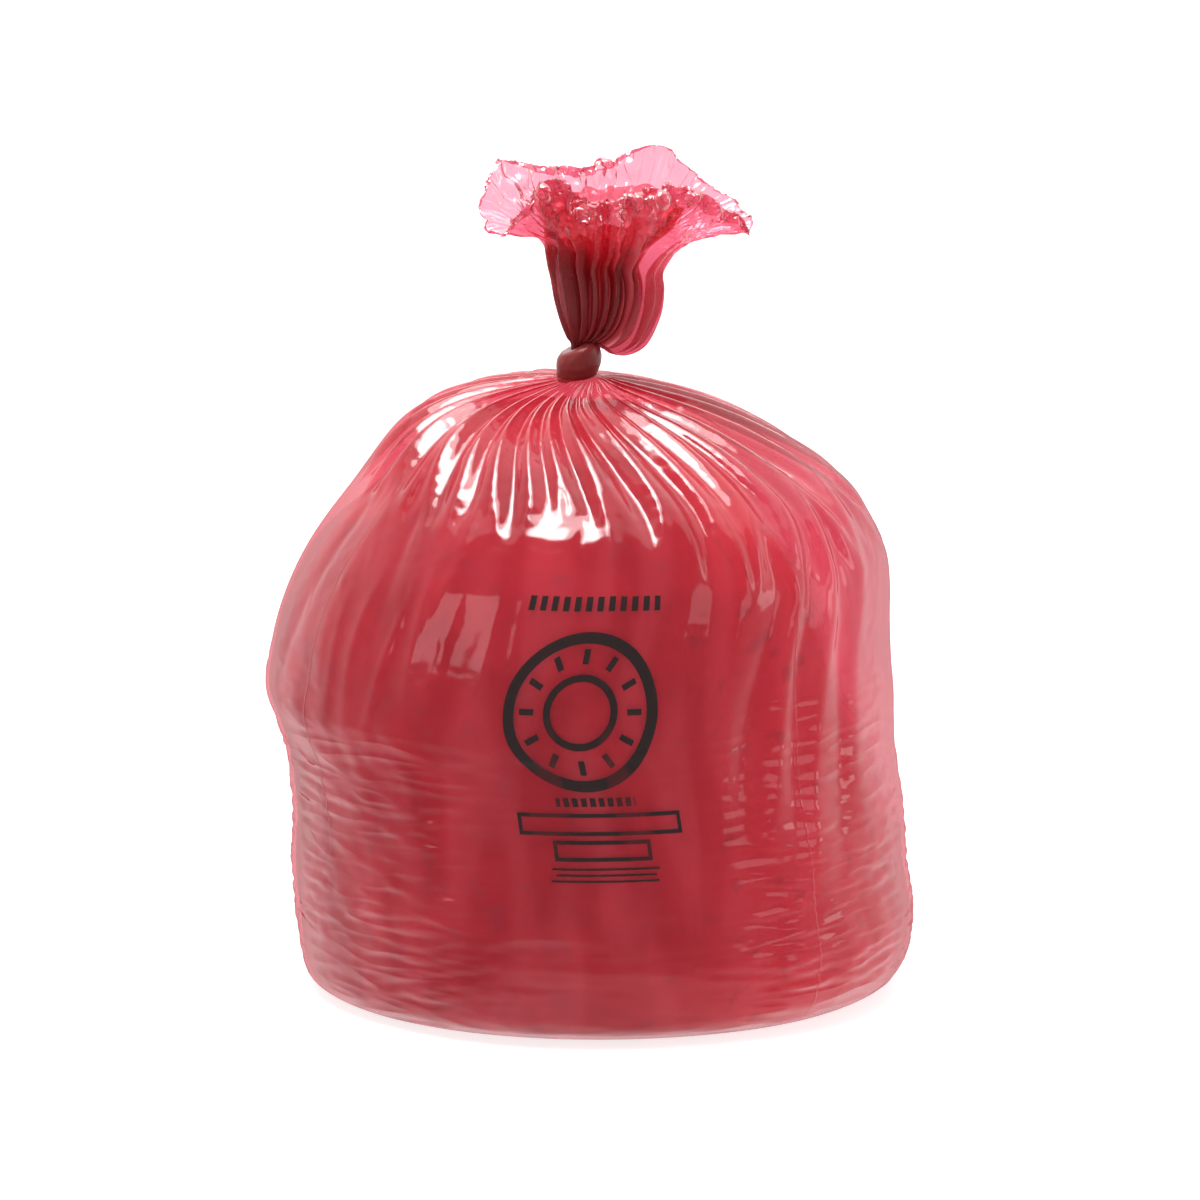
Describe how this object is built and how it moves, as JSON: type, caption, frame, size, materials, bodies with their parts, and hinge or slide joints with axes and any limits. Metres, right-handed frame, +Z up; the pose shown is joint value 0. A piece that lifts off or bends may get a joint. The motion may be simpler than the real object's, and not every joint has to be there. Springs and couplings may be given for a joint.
{
  "type": "knotted red waste bag",
  "caption": "Filled red film bag for clinical waste, standing on the floor, its neck closed by an overhand knot with the loose mouth spread above it.",
  "frame": {"origin": "on the floor, at the middle of the bag's bounding box", "axes": "+Z up through the neck and the knot, -Y out of the printed front, +X to the right as the front is seen"},
  "size_m": [0.485, 0.455, 0.6372],
  "materials": {
    "film": "glossy translucent red polyethylene film",
    "waste": "soft crumpled waste, seen only through the film"
  },
  "bodies": {
    "root": {"film_bag": "film", "waste_contents": "waste"}
  },
  "joints": []
}
